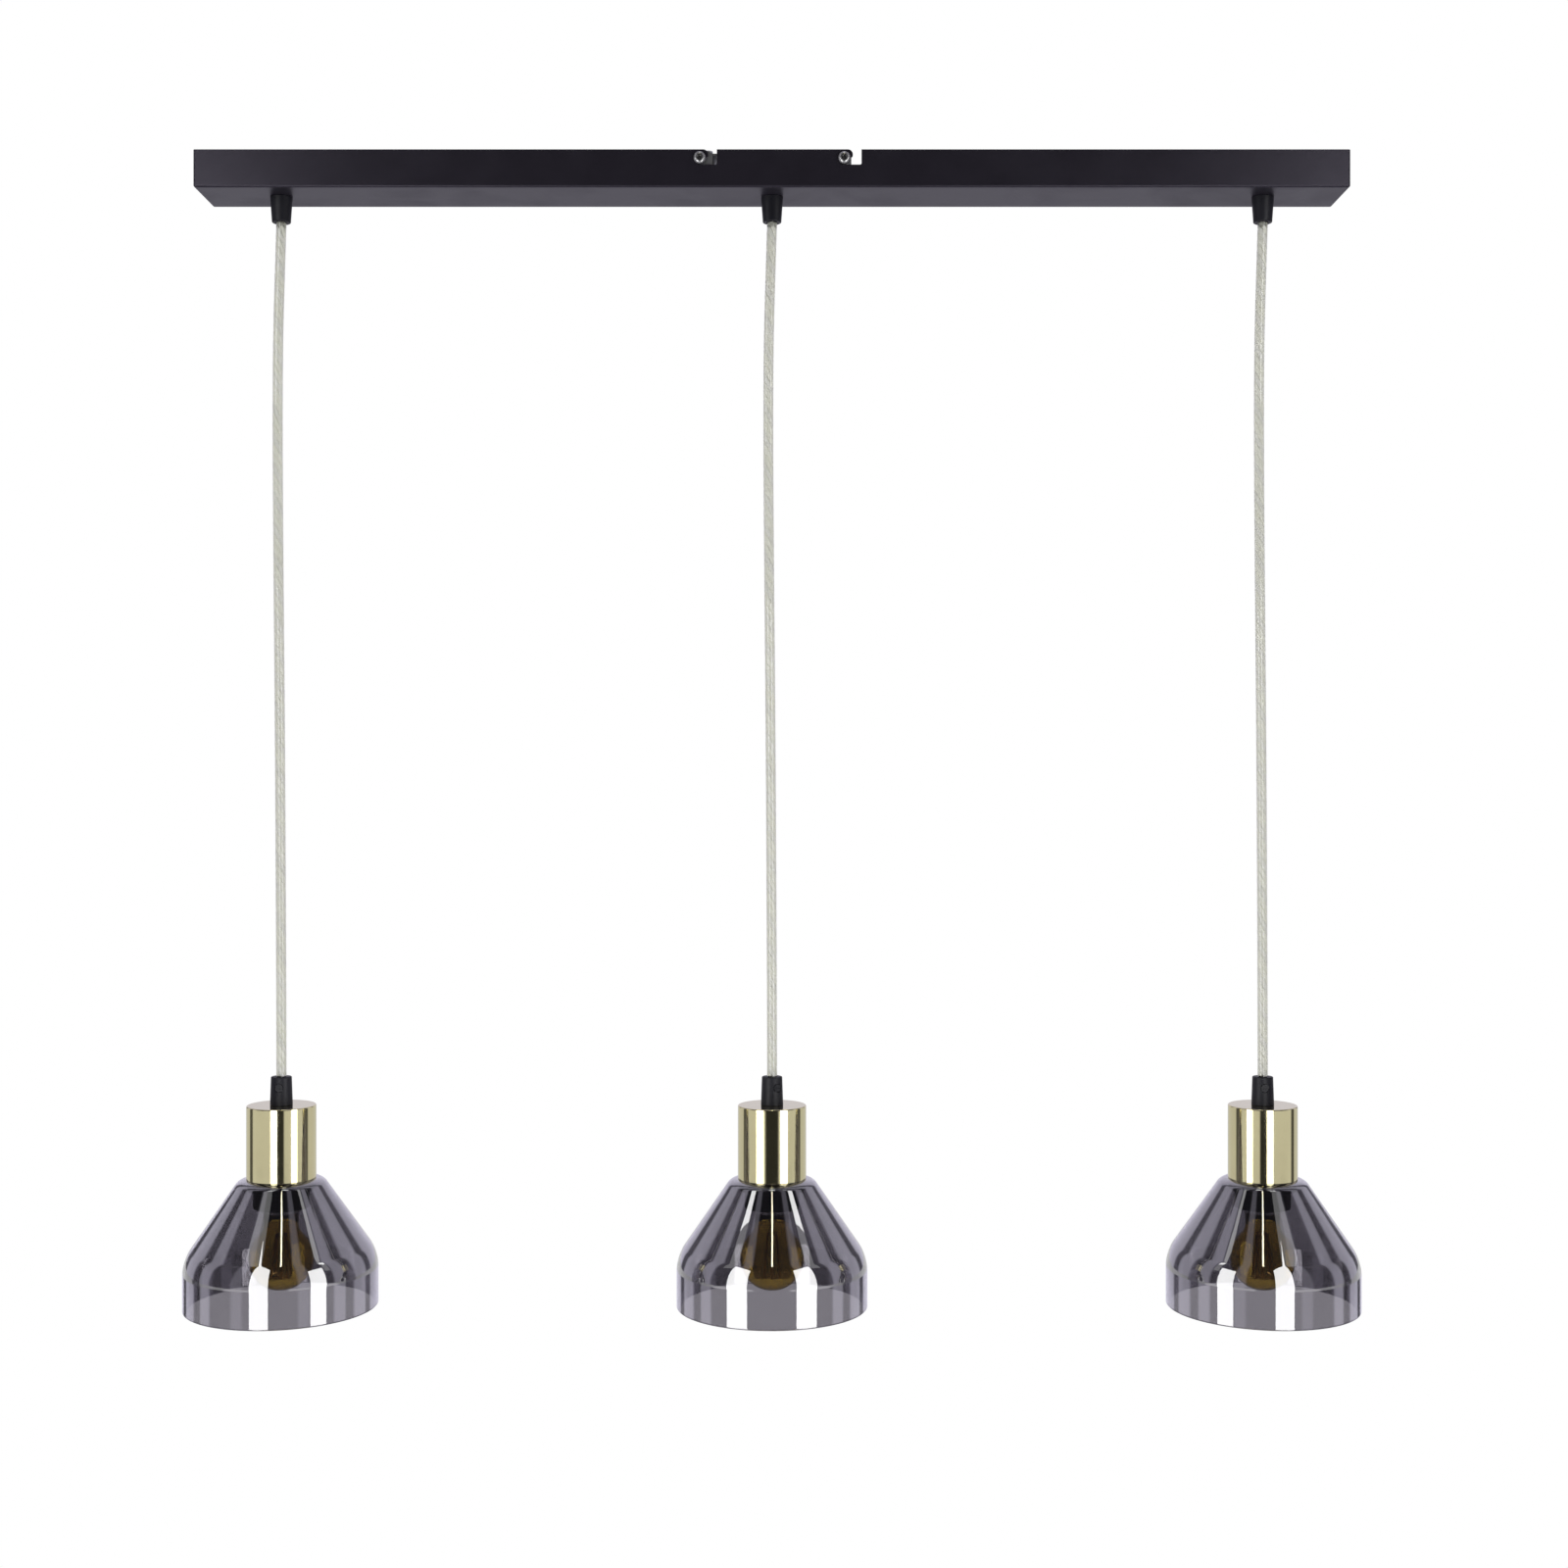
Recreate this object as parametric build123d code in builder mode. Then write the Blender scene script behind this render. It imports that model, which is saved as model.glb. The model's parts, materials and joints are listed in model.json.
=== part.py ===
from build123d import *
import os
from math import cos, pi, radians, sin, tan

os.makedirs("parts", exist_ok=True)

# Linear island pendant, in millimetres. The ceiling is the plane z = 0, the bar runs along X,
# the front faces -Y, and three lamps hang from the bar on clear cords.

# ---------------------------------------------------------------- driving dimensions

# Bar: a folded steel channel, open on top, with closed ends
bar_length = 800
bar_width = 50
bar_height = 26
bar_sheet = 1.2
bar_fold_radius = 1.6
pendant_end_distance = 55  # from the bar's end to the axis of an outer lamp

# Hook slots in the bar's long walls, and the screws that they hang on
hook_screw_x = 50
hook_screw_depth = 5.8
hook_screw_diameter = 4
hook_screw_length = 8
hook_head_diameter = 8.6
hook_head_height = 2.7
hook_recess_width = 1.0
hook_recess_span = 4.6
hook_recess_depth = 1.5
hook_entry_shift = 9
hook_entry_width = 6
hook_entry_depth = 10.5
hook_leg_height = 5
hook_lip_radius = 3.5  # rounding of the bar's top edge beside the entry
hook_tongue_radius = 1.5
hook_corner_radius = 1.2

# Ceiling bracket: a sheet plate with four ears folded down inside the bar
bracket_sheet = 1.5
bracket_fold_radius = 1.0
bracket_side_gap = 0.5
bracket_waist = 8  # how far the plate's edge stands back between the ears
ear_inner_reach = 9
ear_outer_reach = 5
ear_drop = 13
ear_corner_radius = 2
ear_relief = 3  # the notch cut at each end of an ear's fold
fixing_spacing = 60
fixing_slot_width = 5
fixing_slot_length = 12
cable_entry_diameter = 14

# Cord and its two grips
cord_diameter = 7
cord_drop = 600  # from the mouth of the upper grip to the mouth of the lower one
cord_bore_gap = 0.25
bend_depth = 1  # how far below the upper mouth the cord bends
bend_ball_shrink = 0.3
neck_diameter = 10  # hollow threaded neck of both grips
nut_across_flats = 14
nut_height = 3
neck_past_nut = 1.5
sheath_past_neck = 2.5
upper_grip_height = 18
upper_grip_base_diameter = 15.5
upper_grip_mouth_diameter = 13
lower_grip_height = 20
lower_grip_base_diameter = 15.7
lower_grip_mouth_diameter = 14.3
lower_neck_length = 7
grip_edge_radius = 0.8
grip_screw_depth = 7.5  # from a grip's mouth to its side screw
grip_recess_diameter = 6.2
grip_recess_depth = 1.6
grip_screw_diameter = 3
grip_head_diameter = 5.4
grip_head_sink = 0.3
grip_slot_width = 0.9
grip_slot_depth = 0.6
middle_lamp_turn = 33  # the middle lamp is turned this far about its cord

# Cup over the lampholder
cup_diameter = 48
cup_height = 51.5
cup_wall = 1
cup_edge_radius = 0.8

# Lampholder
holder_diameter = 38.6
holder_wall = 3.6
holder_skirt = 21  # how far the holder reaches below the cup
holder_cap_height = 27
holder_cap_diameter = 40
holder_cap_wall = 1.6
holder_cap_roof = 3
holder_cap_shoulder = 5
holder_spigot_height = 12
holder_flange_diameter = 45
holder_flange_height = 2.6
holder_deck = 3
screw_shell_wall = 0.7
screw_shell_gap = 0.3
terminal_post = 4
terminal_post_height = 6
terminal_post_shift = 6
contact_strip_width = 6
contact_strip_sheet = 0.7
contact_strip_height = 6.5
shade_ring_diameter = 46
shade_ring_height = 6
shade_ring_gap = 0.2

# Shade: a glass bell
shade_height = 90
shade_diameter = 134
shade_top_diameter = 58  # where the cone's line meets the top
shade_cone_height = 55
shade_glass = 2.5
shade_hole_gap = 1.2
shade_shoulder_radius = 8
shade_bell_radius = 29

# Bulb: a small globe with a screw cap
bulb_diameter = 45
bulb_length = 80
bulb_cap_length = 25
bulb_cap_show = 3  # how much of the cap shows below the holder
bulb_cap_diameter = 26.2
bulb_cap_sheet = 0.5
bulb_contact_diameter = 9
bulb_contact_height = 2.5
bulb_neck_diameter = 24
bulb_neck_overlap = 7
bulb_neck_fillet = 10
bulb_glass_wall = 0.8
stem_diameter = 7
stem_rod_diameter = 2.4
stick_diameter = 1.6
stick_count = 4
stick_top_radius = 4
stick_bottom_radius = 8
support_wire_diameter = 0.8

# Wiring inside the bar
core_diameter = 2
core_shift = 1.7
lead_arch = 9  # how far below the ceiling the leads arch over the nuts
lead_floor_gap = 0.2
block_distance = 45  # from the bracket's end to the terminal block
block_length = 20
block_width = 32
block_height = 13
block_edge_radius = 0.8
pole_pitch = 10
pole_height = 5.5
clamp_bore = 4.5
clamp_wall = 0.75
clamp_end_gap = 1.5
clamp_screw_diameter = 2.6
clamp_screw_head = 4.4
clamp_screw_shift = 4.5
lead_in = 5  # how far a lead reaches into its clamp
lead_arch_run = 14  # from the cord to the far side of the arch
lead_fall_run = 20  # from the arch to the bar's floor
lead_rise_run = 20  # from the floor up to the clamp
lead_straight_run = 6  # level, in front of the clamp
lead_high_lift = 1.5  # the middle lamp's leads come in from above
lane_change_start = 45  # where the right lamp's leads turn towards their clamps
lane_change_end = 22
right_lane = 16
earth_stud_distance = 30
earth_stud_height = 8
earth_ring_diameter = 10
earth_ring_sheet = 0.8
earth_barrel_length = 5
earth_level_run = 8  # level at each end of the earth lead
earth_nut_across_flats = 7
earth_nut_height = 3.2

# Clearances
fit_gap = 0.05
loose_gap = 0.3

# ---------------------------------------------------------------- derived places

pendant_x = bar_length / 2 - pendant_end_distance
pendants = {"left": -pendant_x, "middle": 0, "right": pendant_x}
lamp_turns = {"left": 0, "middle": middle_lamp_turn, "right": 0}

bar_bottom = -bar_height
bar_floor = bar_bottom + bar_sheet
bracket_half_length = hook_screw_x + ear_outer_reach
ear_outside = bar_width / 2 - bar_sheet - bracket_side_gap

cord_radius = cord_diameter / 2
grip_bore_radius = cord_radius + cord_bore_gap
neck_radius = neck_diameter / 2
nut_top = bar_floor + nut_height
neck_top = nut_top + neck_past_nut
sheath_top = neck_top + sheath_past_neck
upper_mouth = bar_bottom - upper_grip_height
cord_pivot = upper_mouth - bend_depth
bend_radius = cord_radius - bend_ball_shrink
cord_top = cord_pivot - bend_radius * 0.7
lower_mouth = upper_mouth - cord_drop
cord_bottom = lower_mouth + loose_gap

cup_top = lower_mouth - lower_grip_height
cup_bottom = cup_top - cup_height
cup_roof = cup_top - cup_wall
lower_neck_end = cup_top - lower_neck_length
sheath_end = lower_neck_end - sheath_past_neck

holder_radius = holder_diameter / 2
holder_bore_radius = holder_radius - holder_wall
holder_end = cup_bottom - holder_skirt
cap_end = cup_roof - holder_cap_height
cap_inside_radius = holder_cap_diameter / 2 - holder_cap_wall
spigot_radius = cap_inside_radius - fit_gap
spigot_top = cap_end + holder_spigot_height
bulb_cap_end = holder_end - bulb_cap_show
bulb_contact_top = bulb_cap_end + bulb_cap_length
bulb_tip = bulb_contact_top - bulb_length
globe_radius = bulb_diameter / 2
globe_centre = bulb_tip + globe_radius
deck_bottom = bulb_contact_top + contact_strip_height
deck_top = deck_bottom + holder_deck
post_top = deck_top + terminal_post_height
glass_bottom = cup_bottom - shade_glass
ring_end = glass_bottom - shade_ring_height

block_x = -(bracket_half_length + block_distance + block_length / 2)
pole_z = bar_floor + pole_height
clamp_radius = clamp_bore / 2 + clamp_wall
block_top = bar_floor + block_height
core_radius = core_diameter / 2
lead_floor = bar_floor + core_radius + lead_floor_gap
lead_stack = core_radius + fit_gap
earth_stud_x = block_x - block_length / 2 - earth_stud_distance


def save(piece, name):
    """Labels a finished piece and writes it under its node's name."""
    piece.part.label = name
    export_step(piece.part, f"parts/{name}.step")


def section_plane(x):
    """The upright plane through a lamp's axis: its own x is the radius and its own y is z."""
    return Plane(origin=(x, 0, 0), x_dir=(1, 0, 0), z_dir=(0, -1, 0))


def lamp_axis(x):
    return Axis((x, 0, 0), (0, 0, 1))


def corner(sketch, r, z):
    """The vertex of a section nearest to radius r and height z."""
    return sketch.vertices().sort_by_distance((r, z, 0))[0]


def side_plane(x, z, turn, reach):
    """A plane facing out of a grip's side, `turn` degrees from the front and `reach` from its axis."""
    outward = Vector(sin(radians(turn)), -cos(radians(turn)), 0)
    return Plane(origin=Vector(x, 0, z) + outward * reach, x_dir=(0, 0, 1), z_dir=outward)


def taper_radius(z, z_a, diameter_a, z_b, diameter_b):
    """The outer radius of a tapered grip at height z, between its two ends."""
    share = (z - z_a) / (z_b - z_a)
    return (diameter_a + (diameter_b - diameter_a) * share) / 2


def corner_radii(points):
    """One arc radius for each corner of a route, as large as its two runs allow."""
    radii = []
    for before, here, after in zip(points, points[1:], points[2:]):
        run_in = Vector(*here) - Vector(*before)
        run_out = Vector(*after) - Vector(*here)
        half_turn = radians(run_in.get_angle(run_out) / 2)
        radii.append(0.45 * min(run_in.length, run_out.length) / tan(half_turn))
    return radii


# ---------------------------------------------------------------- bar

with BuildPart() as bar_housing:
    with BuildSketch(Plane.XY.offset(bar_bottom)):
        Rectangle(bar_length, bar_width)
    extrude(amount=bar_height)
    fillet(bar_housing.edges().filter_by(Axis.Z), bar_fold_radius)
    fillet(bar_housing.faces().sort_by(Axis.Z)[0].edges(), bar_fold_radius)
    offset(amount=-bar_sheet, openings=bar_housing.faces().sort_by(Axis.Z)[-1])

    # hook slots, cut through both long walls
    seat_radius = hook_screw_diameter / 2 + loose_gap
    leg_top = -hook_entry_depth + hook_leg_height
    for screw_x in (-hook_screw_x, hook_screw_x):
        entry_left = screw_x + hook_entry_shift - hook_entry_width / 2
        entry_right = entry_left + hook_entry_width
        with BuildSketch(Plane.XZ) as slot:
            with BuildLine():
                Polyline(
                    (entry_left - 2 * hook_lip_radius, bar_height),
                    (entry_left - 2 * hook_lip_radius, 0),
                    (entry_left, 0),
                    (entry_left, leg_top),
                    (screw_x - seat_radius, leg_top),
                    (screw_x - seat_radius, -hook_entry_depth),
                    (entry_right, -hook_entry_depth),
                    (entry_right, bar_height),
                    close=True,
                )
            make_face()
            fillet(corner(slot, entry_left, 0), hook_lip_radius)
            fillet(corner(slot, entry_left, leg_top), hook_tongue_radius)
            fillet(corner(slot, screw_x - seat_radius, -hook_entry_depth), hook_corner_radius)
            fillet(corner(slot, entry_right, -hook_entry_depth), hook_corner_radius)
            with Locations((screw_x, -hook_screw_depth)):
                Circle(seat_radius)
        extrude(amount=bar_width, both=True, mode=Mode.SUBTRACT)

    # holes for the grips' necks
    with BuildSketch(Plane.XY.offset(bar_bottom)):
        with Locations(*[(x, 0) for x in pendants.values()]):
            Circle(neck_radius + fit_gap)
    extrude(amount=bar_sheet, mode=Mode.SUBTRACT)

    # welded earth stud
    with BuildSketch(Plane.XY.offset(bar_floor)):
        with Locations((earth_stud_x, 0)):
            Circle(hook_screw_diameter / 2)
    extrude(amount=earth_stud_height)
save(bar_housing, "bar_housing")

# ---------------------------------------------------------------- ceiling bracket and its screws

with BuildPart() as ceiling_bracket:
    ear_middle = hook_screw_x - (ear_inner_reach - ear_outer_reach) / 2
    with BuildSketch(Plane.XY.offset(-bracket_sheet)) as plate:
        Rectangle(2 * bracket_half_length, 2 * (ear_outside - bracket_waist))
        with Locations((-ear_middle, 0), (ear_middle, 0)):
            Rectangle(ear_inner_reach + ear_outer_reach, 2 * ear_outside)
        fold_ends = plate.vertices().filter_by(lambda vertex: abs(vertex.Y) > ear_outside - fit_gap)
        chamfer(fold_ends, ear_relief)
    extrude(amount=bracket_sheet)
    for side_x in (-1, 1):
        for side_y in (-1, 1):
            with BuildSketch(Plane.XZ.offset(-side_y * (ear_outside - bracket_sheet))) as ear:
                with Locations((side_x * ear_middle, -ear_drop / 2)):
                    Rectangle(ear_inner_reach + ear_outer_reach, ear_drop)
                fillet(ear.vertices().group_by(Axis.Y)[0], ear_corner_radius)
                chamfer(ear.vertices().group_by(Axis.Y)[-1], ear_relief)
                with Locations((side_x * hook_screw_x, -hook_screw_depth)):
                    Circle(hook_screw_diameter / 2 + fit_gap, mode=Mode.SUBTRACT)
            extrude(amount=-side_y * bracket_sheet)
    folds = ceiling_bracket.edges().filter_by(Axis.X).group_by(Axis.Z)[-1]
    fillet(folds.filter_by(lambda edge: abs(edge.center().Y) > ear_outside - fit_gap), bracket_fold_radius)

    # slots for the ceiling screws, and the hole for the supply cable
    with BuildSketch(Plane.XY.offset(-bracket_sheet)):
        with Locations((-fixing_spacing / 2, 0), (fixing_spacing / 2, 0)):
            SlotOverall(fixing_slot_length, fixing_slot_width)
        Circle(cable_entry_diameter / 2)
    extrude(amount=bracket_sheet, mode=Mode.SUBTRACT)
save(ceiling_bracket, "ceiling_bracket")

with BuildPart() as bracket_screws:
    for side_y in (-1, 1):
        seat_plane = Plane.XZ.offset(-side_y * bar_width / 2)
        outward = -side_y
        with BuildSketch(seat_plane):
            with Locations((-hook_screw_x, -hook_screw_depth), (hook_screw_x, -hook_screw_depth)):
                Circle(hook_head_diameter / 2)
        extrude(amount=outward * hook_head_height)
        with BuildSketch(seat_plane):
            with Locations((-hook_screw_x, -hook_screw_depth), (hook_screw_x, -hook_screw_depth)):
                Circle(hook_screw_diameter / 2)
        extrude(amount=-outward * hook_screw_length)
    head_face = bar_width / 2 + hook_head_height - fit_gap
    rims = bracket_screws.edges().filter_by(lambda edge: abs(edge.center().Y) > head_face)
    fillet(rims, hook_head_height * 0.45)
    for side_y in (-1, 1):
        top_plane = Plane.XZ.offset(-side_y * (bar_width / 2 + hook_head_height - hook_recess_depth))
        with BuildSketch(top_plane):
            with Locations((-hook_screw_x, -hook_screw_depth), (hook_screw_x, -hook_screw_depth)):
                Rectangle(hook_recess_span, hook_recess_width)
                Rectangle(hook_recess_width, hook_recess_span)
        extrude(amount=-side_y * hook_recess_depth, mode=Mode.SUBTRACT)
save(bracket_screws, "bracket_screws")

# ---------------------------------------------------------------- cord grips

grip_head_reach = grip_recess_depth - grip_head_sink


def build_grip(x, base_z, mouth_z, base_diameter, mouth_diameter, neck_z, turn):
    """A tapered plastic grip with a hollow threaded neck behind its base and a side screw's recess."""
    up = 1 if mouth_z > base_z else -1
    screw_z = mouth_z - up * grip_screw_depth
    outside = taper_radius(screw_z, base_z, base_diameter, mouth_z, mouth_diameter)
    with BuildPart() as grip:
        with BuildSketch(section_plane(x)) as section:
            with BuildLine():
                Polyline(
                    (grip_bore_radius, neck_z),
                    (neck_radius, neck_z),
                    (neck_radius, base_z),
                    (base_diameter / 2, base_z),
                    (mouth_diameter / 2, mouth_z),
                    (grip_bore_radius, mouth_z),
                    close=True,
                )
            make_face()
            fillet(corner(section, mouth_diameter / 2, mouth_z), grip_edge_radius)
            fillet(corner(section, grip_bore_radius, mouth_z), grip_edge_radius / 2)
            fillet(corner(section, base_diameter / 2, base_z), grip_edge_radius / 2)
        revolve(axis=lamp_axis(x))
        with BuildSketch(side_plane(x, screw_z, turn, 0)):
            Circle(grip_screw_diameter / 2 + fit_gap)
        extrude(amount=outside, mode=Mode.SUBTRACT)
        with BuildSketch(side_plane(x, screw_z, turn, outside - grip_recess_depth)):
            Circle(grip_recess_diameter / 2)
        extrude(amount=base_diameter, mode=Mode.SUBTRACT)
    return grip


def build_grip_screw(x, base_z, mouth_z, base_diameter, mouth_diameter, turn):
    """The side screw of a grip: its point bears on the cord, its slotted head lies in the recess."""
    up = 1 if mouth_z > base_z else -1
    screw_z = mouth_z - up * grip_screw_depth
    outside = taper_radius(screw_z, base_z, base_diameter, mouth_z, mouth_diameter)
    head_seat = outside - grip_recess_depth
    point = cord_radius + fit_gap
    with BuildPart() as screw:
        with BuildSketch(side_plane(x, screw_z, turn, point)):
            Circle(grip_screw_diameter / 2)
        extrude(amount=head_seat - point)
        with BuildSketch(side_plane(x, screw_z, turn, head_seat)):
            Circle(grip_head_diameter / 2)
        extrude(amount=grip_head_reach)
        with BuildSketch(side_plane(x, screw_z, turn, head_seat + grip_head_reach - grip_slot_depth)):
            Rectangle(grip_slot_width, grip_head_diameter)
        extrude(amount=grip_slot_depth, mode=Mode.SUBTRACT)
    return screw


upper_grip_ends = (bar_bottom, upper_mouth, upper_grip_base_diameter, upper_grip_mouth_diameter)
lower_grip_ends = (cup_top, lower_mouth, lower_grip_base_diameter, lower_grip_mouth_diameter)
back_turn = 180  # the upper grips' screws face the back

with BuildPart() as upper_grip_screws:
    for x in pendants.values():
        add(build_grip_screw(x, *upper_grip_ends, back_turn).part)
save(upper_grip_screws, "upper_grip_screws")

with BuildPart() as upper_grip_nuts:
    with BuildSketch(Plane.XY.offset(bar_floor)):
        with Locations(*[(x, 0) for x in pendants.values()]):
            RegularPolygon(radius=nut_across_flats / 2, side_count=6, major_radius=False)
            Circle(neck_radius + fit_gap, mode=Mode.SUBTRACT)
    extrude(amount=nut_height)
save(upper_grip_nuts, "upper_grip_nuts")

# ---------------------------------------------------------------- one lamp, made three times


def build_cord_bend(x):
    """The first few millimetres of cord under the grip, where it bends as the lamp swings."""
    with BuildPart() as cord_bend:
        with BuildSketch(section_plane(x)):
            with BuildLine():
                CenterArc((0, cord_pivot), bend_radius, -90, 180)
                Line((0, cord_pivot + bend_radius), (0, cord_pivot - bend_radius))
            make_face()
        revolve(axis=lamp_axis(x))
    return cord_bend


def build_cord(x):
    """The free cord, hollowed at its top to clear the bend."""
    hollow_radius = bend_radius + loose_gap
    with BuildPart() as cord:
        with BuildSketch(section_plane(x)):
            with Locations((cord_radius / 2, (cord_top + cord_bottom) / 2)):
                Rectangle(cord_radius, cord_top - cord_bottom)
            with Locations((0, cord_pivot)):
                Circle(hollow_radius, mode=Mode.SUBTRACT)
        revolve(axis=lamp_axis(x))
    return cord


def build_cord_end(x):
    """The cord's end in the lamp: the sheath in the grip's neck, and two cores to the terminals."""
    span = sheath_end - post_top
    with BuildPart() as cord_end:
        with BuildSketch(Plane.XY.offset(sheath_end)):
            with Locations((x, 0)):
                Circle(cord_radius)
        extrude(amount=lower_mouth - sheath_end)
        for side in (-1, 1):
            points = [
                (x + side * core_shift, 0, sheath_end),
                (x + side * core_shift, 0, sheath_end - 0.3 * span),
                (x + side * terminal_post_shift, 0, sheath_end - 0.65 * span),
                (x + side * terminal_post_shift, 0, post_top + loose_gap),
            ]
            with BuildLine() as route:
                FilletPolyline(*points, radius=corner_radii(points))
            with BuildSketch(Plane.XY.offset(sheath_end)):
                with Locations((x + side * core_shift, 0)):
                    Circle(core_radius)
            sweep(path=route.wires()[0])
    return cord_end


def build_cup(x):
    """The turned metal cup: a roof with a hole for the grip's neck, and a straight wall."""
    outside = cup_diameter / 2
    with BuildPart() as cup:
        with BuildSketch(section_plane(x)) as section:
            with BuildLine():
                Polyline(
                    (neck_radius + fit_gap, cup_top),
                    (outside, cup_top),
                    (outside, cup_bottom),
                    (outside - cup_wall, cup_bottom),
                    (outside - cup_wall, cup_roof),
                    (neck_radius + fit_gap, cup_roof),
                    close=True,
                )
            make_face()
            fillet(corner(section, outside, cup_top), cup_edge_radius)
            fillet(corner(section, outside, cup_bottom), cup_wall * 0.4)
        revolve(axis=lamp_axis(x))
    return cup


def build_holder_cap(x):
    """The lampholder's cap: it hangs under the cup's roof on the grip's neck."""
    outside = holder_cap_diameter / 2
    roof_radius = outside - holder_cap_shoulder
    with BuildPart() as holder_cap:
        with BuildSketch(section_plane(x)) as section:
            with BuildLine():
                Polyline(
                    (neck_radius + fit_gap, cup_roof),
                    (roof_radius, cup_roof),
                    (outside, cup_roof - holder_cap_shoulder),
                    (outside, cap_end),
                    (cap_inside_radius, cap_end),
                    (cap_inside_radius, cup_roof - holder_cap_shoulder - holder_cap_wall),
                    (roof_radius - holder_cap_wall, cup_roof - holder_cap_roof),
                    (neck_radius + fit_gap, cup_roof - holder_cap_roof),
                    close=True,
                )
            make_face()
            fillet(corner(section, outside, cup_roof - holder_cap_shoulder), holder_cap_shoulder / 2)
        revolve(axis=lamp_axis(x))
    return holder_cap


def build_holder_body(x):
    """The lampholder's body: spigot, deck for the contacts, flange over the glass, and skirt."""
    flange_radius = holder_flange_diameter / 2
    flange_top = cup_bottom + holder_flange_height
    with BuildPart() as holder_body:
        with BuildSketch(section_plane(x)) as section:
            with BuildLine():
                Polyline(
                    (holder_bore_radius, spigot_top),
                    (spigot_radius, spigot_top),
                    (spigot_radius, cap_end),
                    (holder_radius, cap_end),
                    (holder_radius, flange_top),
                    (flange_radius, flange_top),
                    (flange_radius, cup_bottom),
                    (holder_radius, cup_bottom),
                    (holder_radius, holder_end),
                    (holder_bore_radius, holder_end),
                    close=True,
                )
            make_face()
            fillet(corner(section, holder_radius, holder_end), holder_wall * 0.3)
            fillet(corner(section, holder_bore_radius, holder_end), holder_wall * 0.3)
            with Locations((holder_bore_radius / 2, (deck_top + deck_bottom) / 2)):
                Rectangle(holder_bore_radius, holder_deck)
        revolve(axis=lamp_axis(x))
    return holder_body


def build_holder_contacts(x):
    """Brass parts of the holder: two terminals on the deck, the screw shell, the centre contact."""
    shell_inside = bulb_cap_diameter / 2 + screw_shell_gap
    shell_top = bulb_contact_top - bulb_contact_height
    shell_end = holder_end + holder_wall
    strip_low = bulb_contact_top + fit_gap + contact_strip_sheet / 2
    with BuildPart() as holder_contacts:
        with BuildSketch(Plane.XY.offset(deck_top)):
            with Locations((x - terminal_post_shift, 0), (x + terminal_post_shift, 0)):
                Rectangle(terminal_post, terminal_post)
        extrude(amount=terminal_post_height)
        with BuildSketch(Plane.XY.offset(shell_end)):
            with Locations((x, 0)):
                Circle(shell_inside + screw_shell_wall)
                Circle(shell_inside, mode=Mode.SUBTRACT)
        extrude(amount=shell_top - shell_end)
        with BuildSketch(section_plane(x)):
            with BuildLine():
                Polyline(
                    (-bulb_contact_diameter, deck_bottom - contact_strip_sheet / 2),
                    (-bulb_contact_diameter * 0.6, deck_bottom - contact_strip_sheet / 2),
                    (-bulb_contact_diameter * 0.2, strip_low),
                    (bulb_contact_diameter / 2, strip_low),
                )
            trace(line_width=contact_strip_sheet)
        extrude(amount=contact_strip_width / 2, both=True)
    return holder_contacts


def build_shade_ring(x):
    """The ring that holds the glass up against the holder's flange."""
    with BuildPart() as shade_ring:
        with BuildSketch(section_plane(x)) as section:
            inside = holder_radius + shade_ring_gap
            outside = shade_ring_diameter / 2
            with Locations(((inside + outside) / 2, (glass_bottom + ring_end) / 2)):
                Rectangle(outside - inside, shade_ring_height)
            fillet(corner(section, outside, ring_end), (outside - inside) * 0.3)
        revolve(axis=lamp_axis(x))
    return shade_ring


def build_shade(x):
    """The glass bell: a flat top, a rounded shoulder, a cone, and a wall that falls almost straight."""
    hole_radius = holder_radius + shade_hole_gap
    top_radius = shade_top_diameter / 2
    outside = shade_diameter / 2
    cone_end = cup_bottom - shade_cone_height
    rim = cup_bottom - shade_height
    slope = Vector(outside - top_radius, -shade_cone_height).normalized()
    # the inner line runs one glass thickness inside the outer one
    inner_top_radius = top_radius - shade_glass * (1 - slope.X) / -slope.Y
    inner_outside = outside - shade_glass
    inner_cone_end = glass_bottom + (inner_outside - inner_top_radius) * slope.Y / slope.X
    with BuildPart() as shade:
        with BuildSketch(section_plane(x)) as section:
            with BuildLine():
                Polyline(
                    (hole_radius, cup_bottom),
                    (top_radius, cup_bottom),
                    (outside, cone_end),
                    (outside, rim),
                    (inner_outside, rim),
                    (inner_outside, inner_cone_end),
                    (inner_top_radius, glass_bottom),
                    (hole_radius, glass_bottom),
                    close=True,
                )
            make_face()
            fillet(corner(section, top_radius, cup_bottom), shade_shoulder_radius)
            fillet(corner(section, inner_top_radius, glass_bottom), shade_shoulder_radius - shade_glass)
            fillet(corner(section, outside, cone_end), shade_bell_radius)
            fillet(corner(section, inner_outside, inner_cone_end), shade_bell_radius - shade_glass)
            fillet(corner(section, outside, rim), shade_glass * 0.45)
            fillet(corner(section, inner_outside, rim), shade_glass * 0.45)
        revolve(axis=lamp_axis(x))
    return shade


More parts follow.
